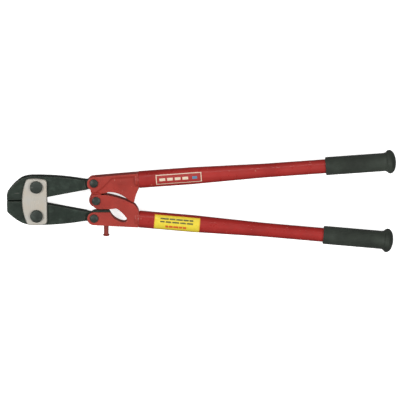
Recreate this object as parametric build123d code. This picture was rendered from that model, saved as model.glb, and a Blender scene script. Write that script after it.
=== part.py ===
from build123d import *
import math
import os

# Compound-action bolt cutters, lying flat.
# +X runs from the cutting head to the grips, +Y across the tool, +Z up.
# Everything is drawn about the tool's middle plane, z = 0, and lifted by REST_HEIGHT when it is written.
# Millimetres.

# ---- driving dimensions -------------------------------------------------------------------------
REST_HEIGHT = 18.75  # middle plane above the surface the tool lies on
RUNNING = 0.06  # radial clearance of a pin in a bore that turns on it
FLAT_GAP = 0.2  # side clearance between sliding faces

HANDLE_SWING = 54.0  # degrees, each handle about its jaw
NOSE_X = -304.9  # front of the jaws
STRAP_PIVOT = (-258.5, 23.2)  # jaw on strap; the lower one is its mirror image
JAW_PIVOT = (-168.5, 28.2)  # jaw tail in the handle's fork
CENTER_PIVOT = (-165.2, 0.0)  # handle on handle

JAW_HALF = 8.0  # half thickness of a jaw
TAIL_HALF = 4.9  # half thickness of its tail, inside the fork
TAIL_LOBE = 8.7  # rounded end of the tail about its pivot
TAIL_ROOM_R = 9.9  # room for that end to turn in
HEEL_GAP = 0.2  # between the two jaws' heels
BLADE_GAP = 0.06  # from each cutting edge to the tool's middle line
BLADE_LENGTH = 28.0
BEVEL_WIDTH = 1.3
BLADE_LAND = 1.0  # half thickness left at the cutting edge
UPPER_NOSE_Y = 10.6  # outer corner of the upper jaw's nose
LOWER_NOSE_Y = 17.2

STRAP_INNER = JAW_HALF + FLAT_GAP
STRAP_OUTER = STRAP_INNER + 5.2
STRAP_BOLT_R = 6.3
STRAP_HEAD_R = 9.8
STRAP_FRONT_X = -280.8
STRAP_BACK_X = -242.0
STRAP_BULGE_R = 89.0
STRAP_TOP_Y = 36.2
STRAP_BOTTOM_Y = -38.4
STRAP_CORNER_R = 5.5
STRAP_ARCH = 2.3  # how far the ends bow out
DIMPLE_R = 3.6  # shallow round mark in the middle of each strap
DIMPLE_DEPTH = 0.4

CASTING_HALF = 9.0
SLOT_HALF = TAIL_HALF + FLAT_GAP
WEB_HALF = 6.8  # thin panel of the upper casting
PANEL_SLOPE = 55.0  # degrees from upright, where the rail falls to the panel
FORK_R = 10.6  # rounded end of a fork cheek
PIN_R = 4.0
PIN_HOLE_R = 4.1  # pin hole in a fork cheek
PIN_HEAD_R = 6.6
PIN_HEAD_H = 3.6
WASHER_R = 7.2
WASHER_H = 1.2
NUT_H = 5.0
NUT_FLATS = 12.0

TONGUE_LOBE = 11.2
TONGUE_ROOT_R = 13.2  # the thick casting starts this far from the centre pivot
CENTER_SLOT_R = 15.0  # pocket in the lower casting that the tongue turns in
JAW_RATIO = 0.12  # turn of a jaw for each degree of its handle's swing
DRIFT_CLEARANCE = 0.35  # around the centre bolt in the tongue's slot
COLLAR_LENGTH = 2.4

TUBE_START_X = -98.2
UPPER_TUBE_Y = 32.45
LOWER_TUBE_Y = -31.0
UPPER_TUBE_ANGLE = 4.18
LOWER_TUBE_ANGLE = -5.08
TUBE_R_FRONT = 13.4
TUBE_R_BACK = 11.0
TAPER_START = 84.0  # along the tube
TAPER_END = 196.0
TUBE_WALL = 2.0
SPIGOT_LENGTH = 34.0
SPIGOT_GAP = 0.05
UPPER_TUBE_LENGTH = 398.5
LOWER_TUBE_LENGTH = 396.0

GRIP_LENGTH = 110.5
GRIP_R = 14.3
GRIP_FLANGE_R = REST_HEIGHT
GRIP_END_WALL = 5.0

LABEL_THICKNESS = 0.3

BUSH_R = 6.0
LEVER_TOP = 12.0  # above the lower jaw pivot
LEVER_END = 24.3  # past the lower jaw pivot
LEVER_UNDERSIDE = 2.5
LEVER_PLAY = 2.6  # room under the lever for its rocking
EAR_INNER = 3.0
SCREW_X = -149.6
SCREW_R = 3.8
SCREW_HEAD_R = 5.2
SCREW_TIP_GAP = 0.15
SCREW_HEAD_Y = -58.2

LOWER_JAW_PIVOT = (JAW_PIVOT[0], -JAW_PIVOT[1])
LOWER_STRAP_PIVOT = (STRAP_PIVOT[0], -STRAP_PIVOT[1])
THROUGH = 30.0  # half length of a cut that goes right through the tool
BOTTOM = (Align.CENTER, Align.CENTER, Align.MIN)


# ---- small helpers ------------------------------------------------------------------------------
def rounded(points, radii):
    """A closed outline through the points, each corner rounded by its own radius."""
    return make_face(FilletPolyline(*points, radius=radii, close=True).edges())


def slab(face, low, high):
    """A flat outline made solid between two heights."""
    return Pos(0, 0, low) * extrude(face, amount=high - low, dir=(0, 0, 1))


def disc(centre, radius, low, high):
    """A round bar on the Z axis through a point."""
    return Pos(centre[0], centre[1], low) * Cylinder(radius, high - low, align=BOTTOM)


def box(x0, x1, y0, y1, z0, z1):
    """A block between two corners."""
    middle = ((x0 + x1) / 2, (y0 + y1) / 2, (z0 + z1) / 2)
    return Pos(*middle) * Box(x1 - x0, y1 - y0, z1 - z0)


def flip(shape):
    """The mirror image across the tool's middle line."""
    return mirror(shape, about=Plane.XZ)


def hexagon(centre, flats, low, high):
    """A hexagonal bar with bevelled corners at both faces."""
    face = RegularPolygon(flats / 2, 6, major_radius=False)
    bar = Pos(centre[0], centre[1], low) * extrude(face, amount=high - low, dir=(0, 0, 1))
    corner = flats / math.sqrt(3)
    rise = 1.0
    cone_r = flats / 2 - 0.2
    profile = Polyline(
        (0, low),
        (cone_r, low),
        (corner + 0.3, low + rise),
        (corner + 0.3, high - rise),
        (cone_r, high),
        (0, high),
        close=True,
    )
    turned = revolve(Plane.XZ * make_face(profile), Axis.Z)
    return bar & (Pos(centre[0], centre[1], 0) * turned)


def dome_middle(rim_r, rise):
    """Half-way point of a shallow dome's arc: its radius, and how far it lies under the top."""
    sphere_r = (rim_r**2 + rise**2) / (2 * rise)
    half = math.asin(rim_r / sphere_r) / 2
    return sphere_r * math.sin(half), sphere_r * (1 - math.cos(half))


def domed_head(centre, radius, low, height, crown):
    """A round bolt head with a shallow crown and a bevelled rim."""
    rim = height - crown
    bevel = 0.7
    side = Polyline((0, 0), (radius, 0), (radius, rim - bevel), (radius - bevel, rim))
    middle_r, middle_drop = dome_middle(radius - bevel, crown)
    top = ThreePointArc((radius - bevel, rim), (middle_r, height - middle_drop), (0, height))
    profile = make_face(side.edges() + top.edges() + Line((0, height), (0, 0)).edges())
    return Pos(centre[0], centre[1], low) * revolve(Plane.XZ * profile, Axis.Z)


# ---- cutting head -------------------------------------------------------------------------------
def strap_outline():
    """A strap seen from above: bulged front, straight back, arched ends, rounded corners."""
    front = Pos(STRAP_FRONT_X + STRAP_BULGE_R, 0) * Circle(STRAP_BULGE_R)
    middle_x = (STRAP_BACK_X + STRAP_FRONT_X) / 2
    top_y = STRAP_TOP_Y - STRAP_ARCH
    bottom_y = STRAP_BOTTOM_Y + STRAP_ARCH
    top = ThreePointArc((STRAP_BACK_X, top_y), (middle_x, STRAP_TOP_Y), (STRAP_FRONT_X, top_y))
    left = Line((STRAP_FRONT_X, top_y), (STRAP_FRONT_X, bottom_y))
    bottom = ThreePointArc((STRAP_FRONT_X, bottom_y), (middle_x, STRAP_BOTTOM_Y), (STRAP_BACK_X, bottom_y))
    back = Line((STRAP_BACK_X, bottom_y), (STRAP_BACK_X, top_y))
    block = make_face(top.edges() + left.edges() + bottom.edges() + back.edges())
    return fillet((front & block).vertices(), STRAP_CORNER_R)


def strap(sign):
    """One of the two plates that hold the jaws together."""
    plate = slab(strap_outline(), STRAP_INNER, STRAP_OUTER)
    outer_rim = plate.faces().sort_by(Axis.Z)[-1].edges()
    plate = chamfer(outer_rim, 1.2)
    for side in (1, -1):
        centre = (STRAP_PIVOT[0], side * STRAP_PIVOT[1])
        plate -= disc(centre, STRAP_BOLT_R + 0.1, 0, STRAP_OUTER + 1)
    plate -= disc((STRAP_PIVOT[0], 0), DIMPLE_R, STRAP_OUTER - DIMPLE_DEPTH, STRAP_OUTER + 1)
    return plate if sign > 0 else mirror(plate, about=Plane.XY)


def strap_bolt(centre):
    """Jaw pivot bolt: round head above, plain shank through both straps and the jaw."""
    head_h = REST_HEIGHT - STRAP_OUTER
    head = domed_head(centre, STRAP_HEAD_R, STRAP_OUTER, head_h, 1.2)
    return head + disc(centre, STRAP_BOLT_R, 0.3 - REST_HEIGHT, STRAP_OUTER)


def strap_nut(centre):
    """Nut under the lower strap; the tool lies on its face."""
    nut = hexagon(centre, 18.0, -REST_HEIGHT, -STRAP_OUTER)
    return nut - disc(centre, STRAP_BOLT_R + 0.05, -REST_HEIGHT - 1, 0)


# ---- jaws ---------------------------------------------------------------------------------------
def jaw_outline(nose_y):
    """Upper jaw seen from above: nose, shoulder, back, tail and rounded heel."""
    heel_r = STRAP_PIVOT[1] - HEEL_GAP / 2
    heel_half = 14.6
    heel_y = STRAP_PIVOT[1] - math.sqrt(heel_r**2 - heel_half**2)
    heel_front = (STRAP_PIVOT[0] - heel_half, heel_y)
    heel_back = (STRAP_PIVOT[0] + heel_half, heel_y)
    blade_end = (NOSE_X + BLADE_LENGTH, BLADE_GAP)
    nose_corner = (NOSE_X, nose_y)
    shoulder = (-281.5, 35.6)
    slant = (-297.4, (nose_y + shoulder[1]) / 2 - 1.6)
    back_start = (-262.0, 39.1)
    tail_start = (JAW_PIVOT[0] - 15.5, JAW_PIVOT[1] + 4.5)
    lobe = (JAW_PIVOT[0] + TAIL_LOBE, JAW_PIVOT[1])
    lobe_low = (JAW_PIVOT[0] - 1.2, JAW_PIVOT[1] - TAIL_LOBE)
    lobe_high = (JAW_PIVOT[0] - 1.5, JAW_PIVOT[1] + 6.2)
    return make_face(
        Line((NOSE_X, BLADE_GAP), nose_corner).edges()
        + ThreePointArc(nose_corner, slant, shoulder).edges()
        + ThreePointArc(shoulder, (-273.0, 38.3), back_start).edges()
        + ThreePointArc(back_start, (-222.0, 37.7), tail_start).edges()
        + Line(tail_start, lobe_high).edges()
        + ThreePointArc(lobe_high, lobe, lobe_low).edges()
        + Line(lobe_low, heel_back).edges()
        + ThreePointArc(heel_back, (STRAP_PIVOT[0], HEEL_GAP / 2), heel_front).edges()
        + Line(heel_front, blade_end).edges()
        + Line(blade_end, (NOSE_X, BLADE_GAP)).edges()
    )


def jaw_blank(nose_y):
    """Upper jaw without its tail bore: forged blank, cutting bevels and thinned tail."""
    blank = slab(jaw_outline(nose_y), -JAW_HALF, JAW_HALF)
    tail_radius = FORK_R + 3.4
    keep = disc(JAW_PIVOT, tail_radius, -TAIL_HALF, TAIL_HALF)
    tail_zone = disc(JAW_PIVOT, tail_radius, -THROUGH, THROUGH)
    blank = (blank - tail_zone) + (blank & keep)
    for side in (1, -1):
        blank -= bevel_wedge(side)
    return blank - disc(STRAP_PIVOT, STRAP_BOLT_R + RUNNING, -THROUGH, THROUGH)


def bevel_wedge(side):
    """The metal ground away on one side of the cutting edge."""
    face = Polyline(
        (-1.0, BLADE_LAND * side),
        (BLADE_GAP, BLADE_LAND * side),
        (BEVEL_WIDTH, (JAW_HALF + 0.01) * side),
        (-1.0, (JAW_HALF + 0.01) * side),
        close=True,
    )
    wedge = extrude(Plane.YZ * make_face(face), amount=BLADE_LENGTH + 3.0, dir=(1, 0, 0))
    return Pos(NOSE_X - 1.0, 0, 0) * wedge


def upper_jaw():
    """Upper jaw, its tail bored straight onto its pivot bolt."""
    return jaw_blank(UPPER_NOSE_Y) - disc(JAW_PIVOT, PIN_R + RUNNING, -THROUGH, THROUGH)


def lower_jaw():
    """Lower jaw: its tail is thinned again for the adjusting lever's ears and bored for the bush."""
    jaw = flip(jaw_blank(LOWER_NOSE_Y))
    for low, high in ((EAR_INNER, JAW_HALF), (-JAW_HALF, -EAR_INNER)):
        jaw -= disc(LOWER_JAW_PIVOT, TAIL_ROOM_R, low, high)
    return jaw - disc(LOWER_JAW_PIVOT, BUSH_R + 0.1, -THROUGH, THROUGH)


# ---- handles: tube frame ------------------------------------------------------------------------
def place_on_tube(shape, upper):
    """Puts a shape drawn along +X from the tube's front end onto the upper or lower handle."""
    start_y = UPPER_TUBE_Y if upper else LOWER_TUBE_Y
    angle = UPPER_TUBE_ANGLE if upper else LOWER_TUBE_ANGLE
    return Pos(TUBE_START_X, start_y, 0) * Rot(0, 0, angle) * shape


def tube_radius(s):
    """Outside radius of the tube at a distance from its front end."""
    share = min(max(0.0, s - TAPER_START) / (TAPER_END - TAPER_START), 1.0)
    return TUBE_R_FRONT + (TUBE_R_BACK - TUBE_R_FRONT) * share


def turned(points):
    """A solid of revolution about the tube's axis."""
    return revolve(make_face(Polyline(*points, close=True)), Axis.X)


def tube(upper):
    """Handle tube: tapered at the front, straight inside the grip."""
    length = UPPER_TUBE_LENGTH if upper else LOWER_TUBE_LENGTH
    lip = 0.8
    shape = turned(
        [
            (0, TUBE_R_FRONT - TUBE_WALL),
            (0, TUBE_R_FRONT - lip),
            (lip, TUBE_R_FRONT),
            (TAPER_START, TUBE_R_FRONT),
            (TAPER_END, TUBE_R_BACK),
            (length, TUBE_R_BACK),
            (length, TUBE_R_BACK - TUBE_WALL),
            (TAPER_END, TUBE_R_BACK - TUBE_WALL),
            (TAPER_START, TUBE_R_FRONT - TUBE_WALL),
        ]
    )
    return place_on_tube(shape, upper)


def spigot(upper):
    """The stub of a casting that is pressed into the tube."""
    front_r = TUBE_R_FRONT - TUBE_WALL - SPIGOT_GAP
    end_r = tube_radius(SPIGOT_LENGTH) - TUBE_WALL - SPIGOT_GAP
    points = [(-6.0, 0), (-6.0, front_r), (0, front_r), (SPIGOT_LENGTH - 2, end_r)]
    points += [(SPIGOT_LENGTH, end_r - 2), (SPIGOT_LENGTH, 0)]
    return place_on_tube(turned(points), upper)


def socket_collar(upper):
    """Short round shoulder of a casting that the tube butts against."""
    end_r = TUBE_R_FRONT - 0.8
    length = COLLAR_LENGTH
    points = [(-length, 0), (-length, CASTING_HALF - 0.6), (-0.9, end_r), (0, end_r), (0, 0)]
    return place_on_tube(turned(points), upper)


def grip(upper):
    """Rubber grip with a closed, flanged end."""
    length = UPPER_TUBE_LENGTH if upper else LOWER_TUBE_LENGTH
    start = length + GRIP_END_WALL - GRIP_LENGTH
    end = start + GRIP_LENGTH
    bore = TUBE_R_BACK + 0.02
    front = (start, GRIP_R - 1.6)
    barrel_start = (start + 1.7, GRIP_R)
    flare_start = (end - 19.0, GRIP_R)
    flare_end = (end - 13.4, 17.4)
    lip = (end - 9.8, GRIP_FLANGE_R)
    lip_end = (end - 5.6, 16.9)
    dome_rim = (end - 1.6, 10.4)
    body = Polyline((end, 0), (length, 0), (length, bore), (start, bore), front)
    nose = ThreePointArc(front, (start + 0.5, GRIP_R - 0.45), barrel_start)
    swell = ThreePointArc(flare_start, (end - 15.8, 15.2), flare_end)
    crown = ThreePointArc(flare_end, lip, lip_end)
    shoulder = ThreePointArc(lip_end, (end - 3.1, 14.0), dome_rim)
    middle_r, middle_drop = dome_middle(dome_rim[1], end - dome_rim[0])
    dome = ThreePointArc(dome_rim, (end - middle_drop, middle_r), (end, 0))
    edges = body.edges() + nose.edges() + Line(barrel_start, flare_start).edges()
    edges += swell.edges() + crown.edges() + shoulder.edges() + dome.edges()
    return place_on_tube(revolve(make_face(edges), Axis.X), upper)


def label(upper, start, length, half_angle):
    """Thin plate that follows the tube's top."""
    inner = 0.02
    outer = inner + LABEL_THICKNESS
    stops = (start, TAPER_START, start + length)
    points = [(s, tube_radius(s) + inner) for s in stops]
    points += [(s, tube_radius(s) + outer) for s in reversed(stops)]
    sector = revolve(make_face(Polyline(*points, close=True)), Axis.X, 2 * half_angle)
    return place_on_tube(Rot(90 - half_angle, 0, 0) * sector, upper)


# ---- handles: castings --------------------------------------------------------------------------
def tube_space(upper):
    """The room the tube takes, cut square across the end of a casting."""
    return place_on_tube(turned([(0, 0), (0, THROUGH), (THROUGH, THROUGH), (THROUGH, 0)]), upper)


def jaw_slot():
    """Space between the upper fork's cheeks, about its pivot: the jaw tail's lobe and all its swing."""
    reach = 32.0
    rest_edge = TAIL_LOBE + 0.45
    edge_slope = 0.19
    swing = math.radians(180.0 - HANDLE_SWING)
    open_edge = 6.9
    start = (open_edge * math.sin(swing), -open_edge * math.cos(swing))
    end = (start[0] + reach * math.cos(swing), start[1] + reach * math.sin(swing))
    sweep = Polyline(
        (0, -rest_edge),
        (-reach, -rest_edge - edge_slope * reach),
        (-reach, end[1]),
        end,
        start,
        close=True,
    )
    slot = slab(make_face(sweep), -SLOT_HALF, SLOT_HALF)
    return slot + disc((0, 0), TAIL_ROOM_R, -SLOT_HALF, SLOT_HALF)


def upper_outline():
    """Upper casting seen from above: jaw fork, top rail, stop horn and the edge along the slit."""
    bx, by = JAW_PIVOT
    rail_start = (bx, by + 9.8)
    neck = (bx - 5.6, 18.0)
    under_neck = (bx - 5.0, 13.6)
    horn_root = (TUBE_START_X, 18.8)
    horn_side = (-105.0, -1.6)
    horn_tip = (-107.8, -3.0)
    slit_end = (-116.8, 2.6)
    slit_start = (-146.4, 13.4)
    edges = Polyline(rail_start, (TUBE_START_X, 44.0), horn_root).edges()
    edges += ThreePointArc(horn_root, (-102.0, 10.4), horn_side).edges()
    edges += ThreePointArc(horn_side, (-106.1, -2.9), horn_tip).edges()
    edges += ThreePointArc(horn_tip, (-112.2, -0.4), slit_end).edges()
    edges += ThreePointArc(slit_end, (-131.2, 11.2), slit_start).edges()
    edges += Polyline(slit_start, (-150.6, 11.3), (-161.0, 10.9), under_neck, neck).edges()
    edges += ThreePointArc(neck, (bx - FORK_R, by + 1.0), rail_start).edges()
    return make_face(edges)


def rail_block(sign):
    """Full thickness of the upper casting's fork and rail, sloping down to the thin panel."""
    region = make_face(
        Polyline(
            (-195.0, 8.0),
            (-169.3, 8.0),
            (-152.0, 21.4),
            (-145.5, 28.2),
            (-139.5, 34.4),
            (-80.0, 38.6),
            (-80.0, 60.0),
            (-195.0, 60.0),
            close=True,
        )
    )
    rise = CASTING_HALF - WEB_HALF
    block = Pos(0, 0, WEB_HALF) * extrude(region, amount=rise, dir=(0, 0, 1), taper=PANEL_SLOPE)
    return block if sign > 0 else mirror(block, about=Plane.XY)


def turn_about(point, centre, degrees):
    """A point turned about another, counter-clockwise."""
    c = math.cos(math.radians(degrees))
    s = math.sin(math.radians(degrees))
    dx = point[0] - centre[0]
    dy = point[1] - centre[1]
    return centre[0] + dx * c - dy * s, centre[1] + dx * s + dy * c


def pin_drift(swing):
    """How far the centre bolt has left its closed place in the tongue, at a swing of the handles."""
    swung = turn_about(CENTER_PIVOT, JAW_PIVOT, swing)
    carried = turn_about(swung, STRAP_PIVOT, -JAW_RATIO * swing)
    return turn_about((0, -2 * carried[1]), (0, 0), (JAW_RATIO - 1) * swing)


def tongue_slot():
    """The centre bolt's slot in the tongue: the linkage is opened here, so it holds all the drift."""
    steps = 9
    rims = []
    for i in range(steps + 1):
        dx, dy = pin_drift(HANDLE_SWING * i / steps)
        place = Pos(CENTER_PIVOT[0] + dx, CENTER_PIVOT[1] + dy)
        rims += (place * Circle(PIN_R + DRIFT_CLEARANCE)).edges()
    return slab(make_hull(rims), -THROUGH, THROUGH)


def upper_casting():
    """Upper handle casting: fork for the jaw, tongue for the centre pivot, panel and stop horn."""
    bx, by = JAW_PIVOT
    cx, cy = CENTER_PIVOT
    outline = upper_outline()
    plate = slab(outline, -WEB_HALF, WEB_HALF)
    for sign in (1, -1):
        plate += slab(outline, -CASTING_HALF, CASTING_HALF) & rail_block(sign)
    plate += socket_collar(True)
    plate -= tube_space(True)
    plate += spigot(True)
    plate -= disc(CENTER_PIVOT, TONGUE_ROOT_R, -THROUGH, THROUGH)
    waist = ThreePointArc((cx - 10.4, cy + 4.2), (bx - 4.3, 12.6), (bx - 6.0, 19.0)).edges()
    sides = Polyline((bx - 6.0, 19.0), (bx + 8.5, 19.0), (cx + 10.4, cy + 4.2), (cx - 10.4, cy + 4.2))
    plate += slab(make_face(waist + sides.edges()), -TAIL_HALF, TAIL_HALF)
    plate += disc(CENTER_PIVOT, TONGUE_LOBE, -TAIL_HALF, TAIL_HALF)
    plate -= Pos(bx, by, 0) * jaw_slot()
    plate -= disc(JAW_PIVOT, PIN_HOLE_R, -THROUGH, THROUGH)
    return plate - tongue_slot()


def lower_outline():
    """Lower casting seen from above: centre arm, hump, body and jaw fork around the open window."""
    bx, by = LOWER_JAW_PIVOT
    cx = CENTER_PIVOT[0]
    arm_top = 9.4
    arm_low = -13.4
    end_x = cx - 6.4
    fork_top = by + 9.6
    fork_low = by - 11.2
    hump_start = (-107.2, -4.8)
    hump_end = (TUBE_START_X, -17.6)
    edges = ThreePointArc((end_x, 6.4), (end_x + 0.9, 8.5), (end_x + 3.0, arm_top)).edges()
    edges += Line((end_x + 3.0, arm_top), (-150.0, arm_top)).edges()
    edges += ThreePointArc((-150.0, arm_top), (-129.0, 4.4), hump_start).edges()
    edges += ThreePointArc(hump_start, (-101.6, -10.4), hump_end).edges()
    edges += Polyline(hump_end, (TUBE_START_X, -43.2), (bx, fork_low)).edges()
    edges += ThreePointArc((bx, fork_low), (bx - FORK_R, by - 0.9), (bx, fork_top)).edges()
    edges += Line((bx, fork_top), (-143.6, fork_top)).edges()
    window = [
        ((-143.6, fork_top), (-140.2, -24.4), (-135.2, -29.2)),
        ((-135.2, -29.2), (-128.6, -33.0), (-121.5, -34.8)),
        ((-121.5, -34.8), (-117.2, -32.2), (-117.6, -27.6)),
        ((-117.6, -27.6), (-123.8, -20.2), (-131.0, -13.9)),
        ((-131.0, -13.9), (-133.4, -12.6), (-136.0, -12.6)),
        ((-136.0, -12.6), (-139.2, -13.1), (-142.5, arm_low)),
    ]
    for start, middle, end in window:
        edges += ThreePointArc(start, middle, end).edges()
    edges += Line((-142.5, arm_low), (cx + 1.5, arm_low)).edges()
    edges += ThreePointArc((cx + 1.5, arm_low), (cx - 4.4, -8.6), (end_x, -2.0)).edges()
    edges += Line((end_x, -2.0), (end_x, 6.4)).edges()
    return make_face(edges)


def lower_casting():
    """Lower handle casting: fork for the centre tongue, fork for the jaw, window, screw hole."""
    bx, by = LOWER_JAW_PIVOT
    cx, cy = CENTER_PIVOT
    plate = slab(lower_outline(), -CASTING_HALF, CASTING_HALF)
    plate += socket_collar(False)
    plate -= tube_space(False)
    plate += spigot(False)
    plate -= disc(CENTER_PIVOT, CENTER_SLOT_R, -SLOT_HALF, SLOT_HALF)
    plate -= box(cx - 20, cx, cy - 15, cy + 15, -SLOT_HALF, SLOT_HALF)
    lever_end = bx + LEVER_END + 0.8
    lever_floor = by + LEVER_UNDERSIDE - LEVER_PLAY
    lever_roof = by + LEVER_TOP + 1.6
    plate -= box(bx - 1, lever_end, lever_floor, lever_roof, -SLOT_HALF, SLOT_HALF)
    plate -= box(bx - 20, bx, by, lever_roof, -SLOT_HALF, SLOT_HALF)
    plate -= Pos(bx, by, 0) * flip(jaw_slot())
    plate -= disc(LOWER_JAW_PIVOT, PIN_HOLE_R, -THROUGH, THROUGH)
    plate -= disc(CENTER_PIVOT, PIN_HOLE_R, -THROUGH, THROUGH)
    return plate - y_bar(SCREW_X, SCREW_R + RUNNING, by - 20, by + 8)


def y_bar(x, radius, low, high):
    """A round bar along Y in the middle plane."""
    return Pos(x, low, 0) * Rot(-90, 0, 0) * Cylinder(radius, high - low, align=BOTTOM)


# ---- pivot bolts --------------------------------------------------------------------------------
def pin_bolt(centre):
    """Pivot bolt: round head above the casting, shank down to the nut's far face."""
    end = -CASTING_HALF - WASHER_H - NUT_H - 0.8
    head = domed_head(centre, PIN_HEAD_R, CASTING_HALF, PIN_HEAD_H, 1.2)
    return head + disc(centre, PIN_R, end, CASTING_HALF)


def pin_washer(centre):
    """Plain washer under a pivot bolt's nut."""
    ring = disc(centre, WASHER_R, -CASTING_HALF - WASHER_H, -CASTING_HALF)
    return ring - disc(centre, PIN_HOLE_R, -REST_HEIGHT, 0)


def pin_nut(centre):
    """Nut of a pivot bolt."""
    top = -CASTING_HALF - WASHER_H
    nut = hexagon(centre, NUT_FLATS, top - NUT_H, top)
    return nut - disc(centre, PIN_R + 0.05, -REST_HEIGHT, 0)


# ---- jaw adjuster -------------------------------------------------------------------------------
def adjusting_lever():
    """Lever in the lower fork: a solid end over the screw and two ears around the pivot bolt."""
    bx, by = LOWER_JAW_PIVOT
    outline = rounded(
        [
            (bx - 2.8, by + 10.6),
            (bx + 1.4, by + LEVER_TOP),
            (bx + LEVER_END, by + LEVER_TOP),
            (bx + LEVER_END, by + LEVER_UNDERSIDE),
            (bx + 4.0, by + LEVER_UNDERSIDE),
            (bx + 1.0, by + 5.0),
        ],
        [0.5, 1.0, 1.2, 1.2, 1.0, 1.0],
    )
    tail_room = disc(LOWER_JAW_PIVOT, TAIL_ROOM_R, -THROUGH, THROUGH)
    lever = slab(outline, -TAIL_HALF, TAIL_HALF) - tail_room
    ear_face = outline + Pos(bx, by) * Circle(TAIL_LOBE - 0.4)
    for low, high in ((EAR_INNER + FLAT_GAP, TAIL_HALF), (-TAIL_HALF, -EAR_INNER - FLAT_GAP)):
        lever += slab(ear_face, low, high)
    return lever - disc(LOWER_JAW_PIVOT, PIN_R + RUNNING, -THROUGH, THROUGH)


def lever_bush():
    """Bush between the lower jaw's tail and its bolt, carried by the lever's ears."""
    outside = disc(LOWER_JAW_PIVOT, BUSH_R, -EAR_INNER - FLAT_GAP, EAR_INNER + FLAT_GAP)
    return outside - disc(LOWER_JAW_PIVOT, PIN_R + RUNNING, -THROUGH, THROUGH)


def adjusting_screw():
    """Adjusting screw: shank through the lower casting's wall, flanged head outside."""
    by = LOWER_JAW_PIVOT[1]
    tip = by + LEVER_UNDERSIDE - SCREW_TIP_GAP
    head_low = SCREW_HEAD_Y
    points = [
        (0, tip),
        (SCREW_R - 1.0, tip),
        (SCREW_R, tip - 1.0),
        (SCREW_R, head_low + 3.4),
        (SCREW_HEAD_R, head_low + 2.6),
        (SCREW_HEAD_R, head_low + 1.2),
        (SCREW_HEAD_R - 1.2, head_low),
        (0, head_low),
    ]
    profile = make_face(Polyline(*points, close=True))
    return Pos(SCREW_X, 0, 0) * revolve(profile, Axis.Y)


# ---- the whole tool -----------------------------------------------------------------------------
nodes = {
    "top_strap": strap(1),
    "bottom_strap": strap(-1),
    "upper_strap_bolt": strap_bolt(STRAP_PIVOT),
    "lower_strap_bolt": strap_bolt(LOWER_STRAP_PIVOT),
    "upper_strap_nut": strap_nut(STRAP_PIVOT),
    "lower_strap_nut": strap_nut(LOWER_STRAP_PIVOT),
    "upper_jaw": upper_jaw(),
    "lower_jaw": lower_jaw(),
    "upper_casting": upper_casting(),
    "lower_casting": lower_casting(),
    "adjusting_lever": adjusting_lever(),
    "lever_bush": lever_bush(),
    "adjusting_screw": adjusting_screw(),
    "upper_name_label": label(True, 26.5, 72.5, 36.0),
    "lower_caution_label": label(False, 24.0, 72.0, 57.0),
}

pivots = {"upper_jaw": JAW_PIVOT, "lower_jaw": LOWER_JAW_PIVOT, "center": CENTER_PIVOT}
for name, centre in pivots.items():
    nodes[name + "_pivot_bolt"] = pin_bolt(centre)
    nodes[name + "_pivot_washer"] = pin_washer(centre)
    nodes[name + "_pivot_nut"] = pin_nut(centre)

for name, is_upper in (("upper", True), ("lower", False)):
    nodes[name + "_handle_tube"] = tube(is_upper)
    nodes[name + "_grip"] = grip(is_upper)

os.makedirs("parts", exist_ok=True)
for name, shape in nodes.items():
    lifted = Pos(0, 0, REST_HEIGHT) * shape
    export_step(lifted, "parts/" + name + ".step")
    print(name, round(lifted.volume, 1), "mm3", len(lifted.solids()), "solid")
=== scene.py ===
import math

import bpy
import numpy as np
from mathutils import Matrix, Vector, noise


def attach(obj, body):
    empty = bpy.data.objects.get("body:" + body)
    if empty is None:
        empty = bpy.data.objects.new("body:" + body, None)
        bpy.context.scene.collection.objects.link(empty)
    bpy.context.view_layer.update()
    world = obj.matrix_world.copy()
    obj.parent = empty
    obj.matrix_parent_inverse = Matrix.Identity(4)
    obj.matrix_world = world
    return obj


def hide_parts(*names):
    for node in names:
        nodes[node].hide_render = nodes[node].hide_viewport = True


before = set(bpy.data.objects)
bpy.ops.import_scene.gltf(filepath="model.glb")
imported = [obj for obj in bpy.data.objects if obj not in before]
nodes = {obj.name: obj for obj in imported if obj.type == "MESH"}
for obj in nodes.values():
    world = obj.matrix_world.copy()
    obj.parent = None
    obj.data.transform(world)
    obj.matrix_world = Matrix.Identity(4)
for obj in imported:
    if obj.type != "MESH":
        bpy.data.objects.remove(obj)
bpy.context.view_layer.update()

# ---- sizes shared with the CAD model, in metres -------------------------------------------------
MM = 0.001
MID_Z = 18.75 * MM  # middle plane of the tool above the floor
TUBE_START_X = -98.2 * MM
TUBES = {
    "upper": {"y": 32.45 * MM, "angle": math.radians(4.18), "length": 398.5},
    "lower": {"y": -31.0 * MM, "angle": math.radians(-5.08), "length": 396.0},
}
TUBE_R_FRONT = 13.4
TUBE_R_BACK = 11.0
TAPER_START = 84.0
TAPER_END = 196.0
GRIP_LENGTH = 110.5
GRIP_R = 14.3
GRIP_FLANGE_R = 18.75
GRIP_END_WALL = 5.0


# ---- procedural materials -----------------------------------------------------------------------
MIX_A, MIX_B, MIX_RESULT = 6, 7, 2  # a Mix node's colour sockets, which share their names with others


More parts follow.
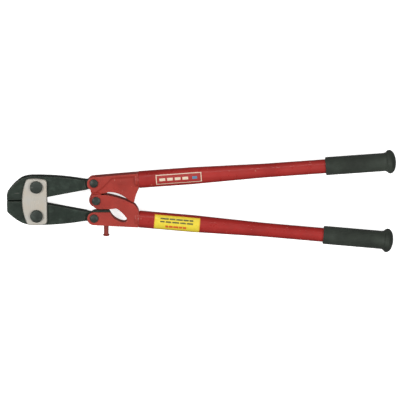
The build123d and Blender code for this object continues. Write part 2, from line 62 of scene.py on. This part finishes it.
class Finish:
    """A material whose colour, roughness and relief come from noise in the piece's own coordinates."""

    def __init__(self, name, rough, metallic=0.0, specular=0.5, coat=0.0, sheen=0.0):
        self.mat = bpy.data.materials.new(name)
        self.mat.use_nodes = True
        self.tree = self.mat.node_tree
        self.shader = self.tree.nodes["Principled BSDF"]
        self.shader.inputs["Metallic"].default_value = metallic
        self.shader.inputs["Roughness"].default_value = rough
        self.shader.inputs["Specular IOR Level"].default_value = specular
        self.shader.inputs["Coat Weight"].default_value = coat
        self.shader.inputs["Coat Roughness"].default_value = 0.18
        self.shader.inputs["Sheen Weight"].default_value = sheen
        self.place = self.add("ShaderNodeTexCoord").outputs["Object"]
        self.relief = None

    def add(self, kind, **settings):
        node = self.tree.nodes.new(kind)
        for key, value in settings.items():
            setattr(node, key, value)
        return node

    def feed(self, socket, value):
        """Links an output to a socket, or sets a plain value."""
        if isinstance(value, bpy.types.NodeSocket):
            self.tree.links.new(value, socket)
        else:
            socket.default_value = value

    def noise(self, scale, detail=3.0, stretch=(1, 1, 1), turn=0.0, shift=0.0):
        """Noise from 0 to 1, scale in features per metre."""
        mapping = self.add("ShaderNodeMapping")
        self.feed(mapping.inputs["Vector"], self.place)
        mapping.inputs["Scale"].default_value = stretch
        mapping.inputs["Rotation"].default_value = (0, 0, turn)
        mapping.inputs["Location"].default_value = (shift, shift, shift)
        texture = self.add("ShaderNodeTexNoise")
        self.feed(texture.inputs["Vector"], mapping.outputs["Vector"])
        texture.inputs["Scale"].default_value = scale
        texture.inputs["Detail"].default_value = detail
        return texture.outputs["Fac"]

    def spread(self, value, low, high, to_low=0.0, to_high=1.0):
        """Maps a range of a value onto another, clamped."""
        node = self.add("ShaderNodeMapRange")
        self.feed(node.inputs["Value"], value)
        for socket, number in zip(("From Min", "From Max", "To Min", "To Max"),
                                  (low, high, to_low, to_high)):
            node.inputs[socket].default_value = number
        return node.outputs["Result"]

    def math(self, operation, a, b):
        node = self.add("ShaderNodeMath", operation=operation)
        self.feed(node.inputs[0], a)
        self.feed(node.inputs[1], b)
        return node.outputs["Value"]

    def blend(self, share, a, b):
        """Colour a where share is 0, colour b where it is 1."""
        node = self.add("ShaderNodeMix", data_type="RGBA")
        self.feed(node.inputs[0], share)
        for socket, colour in ((node.inputs[MIX_A], a), (node.inputs[MIX_B], b)):
            if isinstance(colour, bpy.types.NodeSocket):
                self.feed(socket, colour)
            else:
                socket.default_value = (*colour, 1.0)
        return node.outputs[MIX_RESULT]

    def edges(self, dense, radius=0.8 * MM):
        """1 on convex edges, 0 on flats: from a dense mesh's curvature, else from rounded normals."""
        if dense:
            geometry = self.add("ShaderNodeNewGeometry")
            return self.spread(geometry.outputs["Pointiness"], 0.505, 0.57)
        rounded = self.add("ShaderNodeBevel", samples=4)
        rounded.inputs["Radius"].default_value = radius
        geometry = self.add("ShaderNodeNewGeometry")
        dot = self.add("ShaderNodeVectorMath", operation="DOT_PRODUCT")
        self.feed(dot.inputs[0], rounded.outputs["Normal"])
        self.feed(dot.inputs[1], geometry.outputs["Normal"])
        return self.spread(dot.outputs["Value"], 0.985, 0.86)

    def bump(self, height, distance, strength=1.0):
        """Adds relief of a given depth in metres on top of what is there."""
        node = self.add("ShaderNodeBump")
        node.inputs["Strength"].default_value = strength
        node.inputs["Distance"].default_value = distance
        self.feed(node.inputs["Height"], height)
        if self.relief is not None:
            self.feed(node.inputs["Normal"], self.relief)
        self.relief = node.outputs["Normal"]

    def soften(self, radius):
        """Rounds the sharp edges of a CAD mesh in the shading."""
        node = self.add("ShaderNodeBevel", samples=6)
        node.inputs["Radius"].default_value = radius
        self.relief = node.outputs["Normal"]

    def done(self, colour, rough=None):
        self.feed(self.shader.inputs["Base Color"], colour)
        if rough is not None:
            self.feed(self.shader.inputs["Roughness"], rough)
        if self.relief is not None:
            self.feed(self.shader.inputs["Normal"], self.relief)
        return self.mat


def enamel(name, base, worn, dense, rough=0.36, peel=0.05 * MM, wear=0.55, turn=0.0, drawn=False):
    """Sprayed enamel: orange peel, slow colour drift, paler cloudy patches and rubbed edges."""
    f = Finish(name, rough, specular=0.32, coat=0.12)
    if not dense:
        f.soften(0.5 * MM)
    deep = tuple(c * 0.72 for c in base)
    light = (base[0] * 1.12, base[1] * 1.45 + 0.006, base[2] * 1.4 + 0.005)
    drift = f.spread(f.noise(26.0, 4.0), 0.32, 0.7)
    colour = f.blend(drift, deep, base)
    cloud = f.spread(f.noise(9.0, 5.0, shift=3.1), 0.45, 0.75, 0.0, 0.7)
    colour = f.blend(cloud, colour, light)
    if drawn:
        streak = f.spread(f.noise(420.0, 3.0, stretch=(0.035, 1, 1), turn=-turn), 0.38, 0.66, 0.0, 0.35)
        colour = f.blend(streak, colour, deep)
    rubbed = f.math("MULTIPLY", f.edges(dense), f.spread(f.noise(260.0, 6.0), 0.42, 0.62))
    rubbed = f.math("MULTIPLY", rubbed, wear)
    colour = f.blend(rubbed, colour, worn)
    nick = f.spread(f.noise(170.0, 2.0, shift=7.7), 0.715, 0.74)
    nick = f.math("MULTIPLY", nick, 0.55)
    colour = f.blend(nick, colour, worn)
    f.bump(f.noise(520.0, 2.0), peel, 0.5)
    f.bump(f.noise(60.0, 3.0), peel * 5, 0.35)
    shine = f.spread(f.noise(75.0, 5.0, shift=1.3), 0.3, 0.7, rough - 0.07, rough + 0.14)
    return f.done(colour, shine)


def blackened(name, base, bare, dense, rough=0.42, wear=0.5):
    """Blackened forged steel: a dark scale with scuffs, pits and brighter rubbed edges."""
    f = Finish(name, rough, metallic=0.15, specular=0.3)
    if not dense:
        f.soften(0.5 * MM)
    deep = tuple(c * 0.6 for c in base)
    pale = tuple(c * 1.55 + 0.004 for c in base)
    colour = f.blend(f.spread(f.noise(38.0, 6.0), 0.34, 0.68), deep, base)
    colour = f.blend(f.spread(f.noise(95.0, 5.0, shift=4.2), 0.5, 0.72, 0.0, 0.75), colour, pale)
    scuff = f.spread(f.noise(260.0, 2.0, stretch=(0.12, 1.0, 1.0), turn=0.6), 0.66, 0.72, 0.0, 0.3)
    colour = f.blend(scuff, colour, bare)
    rubbed = f.math("MULTIPLY", f.edges(dense), f.spread(f.noise(240.0, 6.0), 0.38, 0.6))
    colour = f.blend(f.math("MULTIPLY", rubbed, wear), colour, bare)
    f.bump(f.noise(900.0, 3.0), 0.05 * MM, 0.6)
    f.bump(f.noise(140.0, 4.0, shift=2.2), 0.22 * MM, 0.4)
    shine = f.spread(f.noise(120.0, 5.0, shift=1.3), 0.3, 0.7, rough - 0.08, rough + 0.16)
    return f.done(colour, shine)


def ground_steel(name, base, rough=0.42, metallic=0.45, grain=(1.0, 0.02, 1.0)):
    """Ground bare steel: fine parallel scratches, faint stains and burnished edges."""
    f = Finish(name, rough, metallic=metallic, specular=0.5)
    f.soften(0.45 * MM)
    warm = (base[0] * 1.02, base[1] * 0.93, base[2] * 0.84)
    dull = tuple(c * 0.74 for c in base)
    bright = tuple(min(1.0, c * 1.22) for c in base)
    colour = f.blend(f.spread(f.noise(55.0, 5.0), 0.35, 0.7), base, warm)
    scratch = f.noise(1500.0, 3.0, stretch=grain)
    colour = f.blend(f.spread(scratch, 0.4, 0.68, 0.0, 0.55), colour, dull)
    stain = f.spread(f.noise(130.0, 6.0, shift=5.0), 0.6, 0.75, 0.0, 0.45)
    colour = f.blend(stain, colour, dull)
    colour = f.blend(f.math("MULTIPLY", f.edges(False, 1.0 * MM), 0.7), colour, bright)
    f.bump(scratch, 0.035 * MM, 0.6)
    shine = f.spread(scratch, 0.3, 0.7, rough - 0.08, rough + 0.14)
    return f.done(colour, shine)


def rubber(name, base):
    """Moulded rubber: fine pebbling, dusty patches and a soft sheen."""
    f = Finish(name, 0.6, specular=0.3, sheen=0.12)
    dusty = (base[0] * 1.7 + 0.006, base[1] * 1.65 + 0.007, base[2] * 1.7 + 0.006)
    deep = tuple(c * 0.62 for c in base)
    colour = f.blend(f.spread(f.noise(48.0, 6.0), 0.35, 0.68), deep, base)
    colour = f.blend(f.spread(f.noise(22.0, 5.0, shift=2.6), 0.5, 0.75, 0.0, 0.7), colour, dusty)
    colour = f.blend(f.math("MULTIPLY", f.edges(True), 0.35), colour, dusty)
    f.bump(f.noise(1300.0, 2.0), 0.06 * MM, 0.6)
    f.bump(f.noise(180.0, 4.0), 0.12 * MM, 0.35)
    shine = f.spread(f.noise(90.0, 4.0, shift=1.1), 0.3, 0.7, 0.5, 0.72)
    return f.done(colour, shine)


def print_film(name, base, rough=0.33):
    """Printed plastic film: a touch of grime, fine wrinkles and a clear gloss."""
    f = Finish(name, rough, specular=0.5, coat=0.2)
    grimy = tuple(c * 0.78 for c in base)
    colour = f.blend(f.spread(f.noise(160.0, 6.0), 0.48, 0.74, 0.0, 0.7), base, grimy)
    speck = f.spread(f.noise(900.0, 2.0, shift=3.3), 0.7, 0.76, 0.0, 0.5)
    colour = f.blend(speck, colour, tuple(c * 0.5 for c in base))
    f.bump(f.noise(220.0, 3.0), 0.05 * MM, 0.4)
    return f.done(colour, f.spread(f.noise(140.0, 3.0), 0.3, 0.7, rough - 0.06, rough + 0.12))


CASTING_RED = (0.40, 0.040, 0.028)
TUBE_RED = (0.42, 0.025, 0.021)
WORN_RED = (0.56, 0.20, 0.15)
BLACK_GREEN = (0.024, 0.036, 0.027)
RUBBED_STEEL = (0.19, 0.19, 0.165)

steel_black = blackened("jaw_forging", BLACK_GREEN, RUBBED_STEEL, True)
lever_black = blackened("lever_blackened", BLACK_GREEN, RUBBED_STEEL, False)
bolt_black = blackened("bolt_black_oxide", (0.040, 0.050, 0.042), RUBBED_STEEL, False, 0.46, 0.35)
casting_red = enamel("casting_enamel", CASTING_RED, WORN_RED, True, 0.38, 0.09 * MM)
screw_red = enamel("screw_enamel", tuple(c * 0.6 for c in CASTING_RED), WORN_RED, False, 0.4)
strap_steel = ground_steel("strap_ground_steel", (0.60, 0.58, 0.525))
washer_zinc = ground_steel("washer_zinc", (0.55, 0.56, 0.55), 0.35, 0.7, (1.0, 0.3, 1.0))
bush_bronze = ground_steel("bush_bronze", (0.45, 0.30, 0.14), 0.35, 0.8, (1.0, 1.0, 0.05))
grip_rubber = rubber("grip_moulded_rubber", (0.026, 0.034, 0.025))
film_red = print_film("film_red", (0.40, 0.028, 0.024))
film_cream = print_film("film_cream", (0.80, 0.66, 0.50))
film_blue = print_film("film_blue", (0.10, 0.25, 0.38))
film_yellow = print_film("film_yellow", (0.88, 0.70, 0.05))
film_amber = print_film("film_amber", (0.80, 0.38, 0.03))
film_ink = print_film("film_ink", (0.13, 0.12, 0.03))
film_orange = print_film("film_orange_red", (0.75, 0.13, 0.02))


# ---- carried-over CAD nodes ---------------------------------------------------------------------
def finish_node(name, material):
    """Gives every material slot of a CAD node the same finish."""
    mesh = nodes[name].data
    if not mesh.materials:
        mesh.materials.append(material)
    for index in range(len(mesh.materials)):
        mesh.materials[index] = material


for side in ("upper", "lower"):
    red = enamel(side + "_tube_enamel", TUBE_RED, WORN_RED, False, 0.30, 0.03 * MM, 0.5,
                 TUBES[side]["angle"], True)
    finish_node(side + "_handle_tube", red)
    finish_node(side + "_strap_bolt", bolt_black)
    finish_node(side + "_strap_nut", bolt_black)
for name in ("upper_jaw", "lower_jaw", "center"):
    finish_node(name + "_pivot_bolt", bolt_black)
    finish_node(name + "_pivot_nut", bolt_black)
    finish_node(name + "_pivot_washer", washer_zinc)
finish_node("top_strap", strap_steel)
finish_node("bottom_strap", strap_steel)
finish_node("adjusting_lever", lever_black)
finish_node("lever_bush", bush_bronze)
finish_node("adjusting_screw", screw_red)


# ---- forged and cast pieces ---------------------------------------------------------------------
BLADE_END_X = -277.0 * MM  # the cutting edges lie in front of this
EDGE_BAND = 1.3 * MM  # half width and half height of the thin strip along a cutting edge
EDGE_PULL = 0.12  # share of its distance from the middle line that the strip keeps
TIP_PLACE = (-143.5 * MM, -19.6 * MM)  # where the lever's pocket opens into the window
TIP_REACH = (0.9 * MM, 3.0 * MM, 5.6 * MM)  # half sizes of the thin wall there
TIP_EASE = 0.45 * MM
COARSE_SCALE = 90.0  # lumps of the skin, in features per metre
FINE_SCALE = 330.0


def close_blades(place):
    """Brings the cutting edges, which smoothing wore back, out to the middle line again."""
    edge = (np.abs(place[:, 1]) < EDGE_BAND) & (place[:, 0] < BLADE_END_X)
    edge &= np.abs(place[:, 2] - MID_Z) < EDGE_BAND
    place[edge, 1] *= EDGE_PULL


def ease_pocket(place):
    """Moves the thin wall at the end of the lever's pocket back, clear of the rocking lever."""
    tip = np.abs(place[:, 0] - TIP_PLACE[0]) < TIP_REACH[0]
    tip &= np.abs(place[:, 1] - TIP_PLACE[1]) < TIP_REACH[1]
    tip &= np.abs(place[:, 2] - MID_Z) < TIP_REACH[2]
    place[tip, 0] += TIP_EASE


def shaped_copy(node, piece_name, body, material, voxel, rounds, rough_depth, touch_up=None):
    """A dense copy of a CAD node with rolled edges and an uneven skin that only goes inwards."""
    source = bpy.data.objects.new("source_" + node, nodes[node].data.copy())
    bpy.context.scene.collection.objects.link(source)
    remesh = source.modifiers.new("remesh", "REMESH")
    remesh.mode = "VOXEL"
    remesh.voxel_size = voxel
    smooth = source.modifiers.new("smooth", "SMOOTH")
    smooth.factor = 0.5
    smooth.iterations = rounds
    evaluated = source.evaluated_get(bpy.context.evaluated_depsgraph_get())
    mesh = bpy.data.meshes.new_from_object(evaluated)
    bpy.data.objects.remove(source)
    count = len(mesh.vertices)
    place = np.zeros(count * 3, np.float32)
    normal = np.zeros(count * 3, np.float32)
    mesh.vertices.foreach_get("co", place)
    mesh.vertex_normals.foreach_get("vector", normal)
    place = place.reshape(-1, 3)
    normal = normal.reshape(-1, 3)
    depth = np.zeros(count, np.float32)
    for i, p in enumerate(place):
        coarse = noise.noise(Vector(p) * COARSE_SCALE)
        fine = noise.noise(Vector(p) * FINE_SCALE)
        depth[i] = 0.5 + 0.35 * coarse + 0.25 * fine
    place -= normal * (np.clip(depth, 0.0, 1.0) * rough_depth)[:, None]
    if touch_up is not None:
        touch_up(place)
    mesh.vertices.foreach_set("co", place.ravel())
    mesh.update()
    mesh.materials.clear()
    mesh.materials.append(material)
    mesh.polygons.foreach_set("use_smooth", [True] * len(mesh.polygons))
    piece = bpy.data.objects.new(piece_name, mesh)
    bpy.context.scene.collection.objects.link(piece)
    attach(piece, body)
    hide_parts(node)
    return piece


for side in ("upper", "lower"):
    shaped_copy(side + "_jaw", side + "_jaw_forging", side + "_jaw", steel_black,
                voxel=0.55 * MM, rounds=3, rough_depth=0.10 * MM, touch_up=close_blades)
for side, touch_up in (("upper", None), ("lower", ease_pocket)):
    shaped_copy(side + "_casting", side + "_fork_casting", side + "_handle", casting_red,
                voxel=0.6 * MM, rounds=6, rough_depth=0.12 * MM, touch_up=touch_up)


# ---- pieces drawn along a handle ----------------------------------------------------------------
def on_handle(side, s, radius, turn):
    """A point at a distance along a handle tube (mm), at a radius (mm), turned from straight up."""
    tube = TUBES[side]
    along = s * MM
    across = radius * MM * math.sin(turn)
    up = radius * MM * math.cos(turn)
    c = math.cos(tube["angle"])
    n = math.sin(tube["angle"])
    return (TUBE_START_X + along * c - across * n, tube["y"] + along * n + across * c, MID_Z + up)


def tube_radius(s):
    """Radius of a handle tube (mm) at a distance along it (mm)."""
    share = min(max(0.0, s - TAPER_START) / (TAPER_END - TAPER_START), 1.0)
    return TUBE_R_FRONT + (TUBE_R_BACK - TUBE_R_FRONT) * share


def arc_points(a, b, c, count):
    """Points on the circle through a, b and c, without the last one."""
    ax, ay = a
    bx, by = b
    cx, cy = c
    d = 2 * (ax * (by - cy) + bx * (cy - ay) + cx * (ay - by))
    a2, b2, c2 = ax * ax + ay * ay, bx * bx + by * by, cx * cx + cy * cy
    ux = (a2 * (by - cy) + b2 * (cy - ay) + c2 * (ay - by)) / d
    uy = (a2 * (cx - bx) + b2 * (ax - cx) + c2 * (bx - ax)) / d
    start = math.atan2(ay - uy, ax - ux)
    middle = math.atan2(by - uy, bx - ux)
    end = math.atan2(cy - uy, cx - ux)
    turn = (end - start) % (2 * math.pi)
    if (middle - start) % (2 * math.pi) > turn:
        turn -= 2 * math.pi
    radius = math.hypot(ax - ux, ay - uy)
    steps = [start + turn * i / count for i in range(count)]
    return [(ux + radius * math.cos(t), uy + radius * math.sin(t)) for t in steps]


def add_piece(name, mesh, materials, body, slot, *replaced):
    """Puts a mesh in the scene as a piece of a body, in place of the CAD nodes named last."""
    for material in materials:
        mesh.materials.append(material)
    piece = bpy.data.objects.new(name, mesh)
    bpy.context.scene.collection.objects.link(piece)
    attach(piece, body)
    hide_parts(*replaced)
    return piece


RIB_COUNT = 36
RIB_DEPTH = 0.42
RIB_STEPS = 8  # mesh columns to one rib
RIB_START = 9.0  # from the grip's front
RIB_END = 25.0  # from its closed end
RIB_FADE = 5.0


def grip(side):
    """Rubber grip with shallow lengthwise ribs on its barrel and a smooth flange and dome."""
    length = TUBES[side]["length"]
    start = length + GRIP_END_WALL - GRIP_LENGTH
    end = start + GRIP_LENGTH
    bore = TUBE_R_BACK + 0.02
    front = (start, GRIP_R - 1.6)
    barrel_start = (start + 1.7, GRIP_R)
    flare_start = (end - 19.0, GRIP_R)
    flare_end = (end - 13.4, 17.4)
    crown_end = (end - 5.6, 16.9)
    dome_rim = (end - 1.6, 10.4)
    outline = [(length, 0.0), (length, bore), (start, bore)]
    outline += arc_points(front, (start + 0.5, GRIP_R - 0.45), barrel_start, 6)
    barrel_steps = 44
    span = flare_start[0] - barrel_start[0]
    outline += [(barrel_start[0] + span * i / barrel_steps, GRIP_R) for i in range(barrel_steps)]
    outline += arc_points(flare_start, (end - 15.8, 15.2), flare_end, 8)
    outline += arc_points(flare_end, (end - 9.8, GRIP_FLANGE_R), crown_end, 14)
    outline += arc_points(crown_end, (end - 3.1, 14.0), dome_rim, 8)
    drop = end - dome_rim[0]
    sphere = (dome_rim[1] ** 2 + drop**2) / (2 * drop)
    full = math.asin(dome_rim[1] / sphere)
    for i in range(8):
        t = full * (1 - i / 8)
        outline.append((end - sphere * (1 - math.cos(t)), sphere * math.sin(t)))
    outline.append((end, 0.0))
    columns = RIB_COUNT * RIB_STEPS
    verts = []
    rings = []
    for s, r in outline:
        if r < 1e-6:
            rings.append([len(verts)])
            verts.append(on_handle(side, s, 0.0, 0.0))
            continue
        rising = min(1.0, max(0.0, (s - start - RIB_START) / RIB_FADE))
        falling = min(1.0, max(0.0, (end - RIB_END - s) / RIB_FADE))
        depth = RIB_DEPTH * rising * falling if r > bore + 0.5 else 0.0
        rings.append(list(range(len(verts), len(verts) + columns)))
        for k in range(columns):
            wave = abs(math.sin(math.pi * k / RIB_STEPS)) ** 0.6
            verts.append(on_handle(side, s, r - depth * (1 - wave), 2 * math.pi * k / columns))
    faces = []
    for low, high in zip(rings, rings[1:]):
        for k in range(columns):
            j = (k + 1) % columns
            if len(low) == 1:
                faces.append((low[0], high[j], high[k]))
            elif len(high) == 1:
                faces.append((low[k], low[j], high[0]))
            else:
                faces.append((low[k], low[j], high[j], high[k]))
    mesh = bpy.data.meshes.new(side + "_grip_mesh")
    mesh.from_pydata(verts, [], faces)
    mesh.polygons.foreach_set("use_smooth", [True] * len(mesh.polygons))
    mesh.update()
    return add_piece(side + "_grip_moulding", mesh, [grip_rubber], side + "_handle", "grip_rubber",
                     side + "_grip")


FILM_INNER = 0.02
FILM_OUTER = 0.32
ANGLE_STEP = 3.0


def film(name, side, start, length, half_angle, marks, materials, slot, replaced):
    """A printed film on a tube.

    Marks are (from, to, low angle, high angle, material), in mm and degrees.
    """
    stops_s = {0.0, length, TAPER_START - start}
    stops_a = {-half_angle, half_angle}
    for s0, s1, a0, a1, _ in marks:
        stops_s.update((s0, s1))
        stops_a.update((a0, a1))
    steps = int(2 * half_angle / ANGLE_STEP)
    for i in range(1, steps):
        angle = -half_angle + 2 * half_angle * i / steps
        if min(abs(angle - a) for a in stops_a) > 0.8:
            stops_a.add(angle)
    stops_s = sorted(stops_s)
    stops_a = sorted(stops_a)
    wide = len(stops_a)
    verts = []
    for lift in (FILM_INNER, FILM_OUTER):
        for s in stops_s:
            for a in stops_a:
                r = tube_radius(start + s) + lift
                verts.append(on_handle(side, start + s, r, math.radians(a)))
    layer = len(stops_s) * wide
    faces = []
    chosen = []
    for i in range(len(stops_s) - 1):
        for k in range(wide - 1):
            s = (stops_s[i] + stops_s[i + 1]) / 2
            a = (stops_a[k] + stops_a[k + 1]) / 2
            colour = 0
            for s0, s1, a0, a1, index in marks:
                if s0 < s < s1 and a0 < a < a1:
                    colour = index
            corner = i * wide + k
            quad = (corner, corner + 1, corner + wide + 1, corner + wide)
            faces.append(tuple(layer + q for q in reversed(quad)))
            chosen.append(colour)
            faces.append(quad)
            chosen.append(0)
    rim = list(range(wide)) + [i * wide + wide - 1 for i in range(1, len(stops_s))]
    rim += [(len(stops_s) - 1) * wide + k for k in range(wide - 2, -1, -1)]
    rim += [i * wide for i in range(len(stops_s) - 2, 0, -1)]
    for a, b in zip(rim, rim[1:] + rim[:1]):
        faces.append((b, a, layer + a, layer + b))
        chosen.append(0)
    mesh = bpy.data.meshes.new(name + "_mesh")
    mesh.from_pydata(verts, [], faces)
    mesh.polygons.foreach_set("material_index", chosen)
    mesh.polygons.foreach_set("use_smooth", [True] * len(faces))
    mesh.update()
    piece = add_piece(name, mesh, materials, side + "_handle", slot, replaced)
    mesh.set_sharp_from_angle(angle=math.radians(40.0))
    return piece


def frame_marks(length, half_angle, inset, inset_angle, line, line_angle, index):
    """Four strips that make a border line around a film."""
    s0, s1 = inset, length - inset
    a0, a1 = -half_angle + inset_angle, half_angle - inset_angle
    return [
        (s0, s1, a0, a0 + line_angle, index),
        (s0, s1, a1 - line_angle, a1, index),
        (s0, s0 + line, a0, a1, index),
        (s1 - line, s1, a0, a1, index),
    ]


def broken_bar(start, words, gap, low, high, index):
    """A row of plain blocks in place of printed words."""
    marks = []
    for width in words:
        marks.append((start, start + width, low, high, index))
        start += width + gap
    return marks


# each film's start along its tube and its length (mm), and its half angle about the tube (degrees)
NAME_START, NAME_LENGTH, NAME_ANGLE = 26.5, 72.5, 36.0
CAUTION_START, CAUTION_LENGTH, CAUTION_ANGLE = 24.0, 72.0, 57.0

CREAM, BLUE = 1, 2
name_marks = frame_marks(NAME_LENGTH, NAME_ANGLE, 0.5, 2.0, 1.3, 5.0, CREAM)
name_marks += broken_bar(6.0, (9.0, 9.0, 9.0, 9.0), 3.0, -9.0, 9.0, CREAM)
name_marks += [(57.5, 65.0, -9.0, 9.0, BLUE)]
film("upper_plain_name_film", "upper", NAME_START, NAME_LENGTH, NAME_ANGLE, name_marks,
     [film_red, film_cream, film_blue], "name_label", "upper_name_label")

AMBER, INK, ORANGE = 1, 2, 3
caution_marks = frame_marks(CAUTION_LENGTH, CAUTION_ANGLE, 0.0, 0.0, 1.1, 4.0, AMBER)
caution_marks += broken_bar(9.5, (13.0, 9.0, 10.0, 8.0, 6.0), 1.4, 24.0, 35.0, INK)
caution_marks += broken_bar(9.5, (7.0, 9.0, 11.0, 9.0, 10.0), 1.4, 4.0, 14.0, INK)
caution_marks += broken_bar(18.0, (4.6, 6.0, 8.0, 5.0, 5.4), 1.0, -31.0, -15.0, ORANGE)
film("lower_plain_caution_film", "lower", CAUTION_START, CAUTION_LENGTH, CAUTION_ANGLE, caution_marks,
     [film_yellow, film_amber, film_ink, film_orange], "caution_label", "lower_caution_label")

grip("upper")
grip("lower")


# ---- floor, lights and camera -------------------------------------------------------------------
FLOOR_GLOW = 0.72  # keeps the floor pale under the tool
FLOOR_DROP = 0.02 * MM


def floor():
    """Plain pale floor just under the tool."""
    bpy.ops.mesh.primitive_plane_add(size=12.0, location=(0, 0, -FLOOR_DROP))
    plane = bpy.context.object
    plane.name = "floor"
    f = Finish("floor_pale", 0.85, specular=0.1)
    pale = f.blend(f.spread(f.noise(3.0, 2.0), 0.3, 0.7), (0.90, 0.90, 0.895), (0.92, 0.92, 0.915))
    f.shader.inputs["Emission Color"].default_value = (1.0, 1.0, 0.995, 1.0)
    f.shader.inputs["Emission Strength"].default_value = FLOOR_GLOW
    plane.data.materials.append(f.done(pale))
    plane.visible_diffuse = False
    plane.visible_glossy = False


def soft_light(name, place, width, height, power):
    """A white area light turned towards the middle of the floor."""
    data = bpy.data.lights.new(name, "AREA")
    data.shape = "RECTANGLE"
    data.size = width
    data.size_y = height
    data.energy = power
    light = bpy.data.objects.new(name, data)
    bpy.context.scene.collection.objects.link(light)
    light.location = place
    light.rotation_mode = "QUATERNION"
    light.rotation_quaternion = (-Vector(place)).to_track_quat("-Z", "Y")


floor()
soft_light("key", (-1.35, 0.45, 1.8), 0.9, 0.9, 27.0)
soft_light("fill", (1.35, -0.05, 1.9), 0.9, 0.9, 21.0)
soft_light("strip", (-0.25, 1.45, 1.15), 0.9, 0.08, 3.2)

# a dim white sky, darker towards the ground
world = bpy.data.worlds.new("studio")
bpy.context.scene.world = world
world.use_nodes = True
sky = world.node_tree
height = sky.nodes.new("ShaderNodeSeparateXYZ")
sky.links.new(sky.nodes.new("ShaderNodeTexCoord").outputs["Generated"], height.inputs["Vector"])
ramp = sky.nodes.new("ShaderNodeMapRange")
sky.links.new(height.outputs["Z"], ramp.inputs["Value"])
for socket, amount in (("From Min", -0.1), ("From Max", 0.8), ("To Min", 0.10), ("To Max", 0.36)):
    ramp.inputs[socket].default_value = amount
sky.links.new(ramp.outputs["Result"], sky.nodes["Background"].inputs["Strength"])
sky.nodes["Background"].inputs["Color"].default_value = (1.0, 1.0, 1.0, 1.0)

TILT = math.radians(13.2)
DISTANCE = 6.0
VIEW_WIDTH = 0.6272  # width of the picture at the tool's distance
SENSOR = 36.0
target = Vector((-0.0024, -0.0005, MID_Z))
camera_data = bpy.data.cameras.new("camera")
camera_data.sensor_width = SENSOR
camera_data.lens = SENSOR * DISTANCE / VIEW_WIDTH
camera_data.clip_end = 100.0
camera = bpy.data.objects.new("camera", camera_data)
bpy.context.scene.collection.objects.link(camera)
camera.location = target + DISTANCE * Vector((0, math.sin(TILT), math.cos(TILT)))
camera.rotation_euler = (-TILT, 0, 0)
bpy.context.scene.camera = camera
bpy.context.scene.view_settings.view_transform = "Standard"
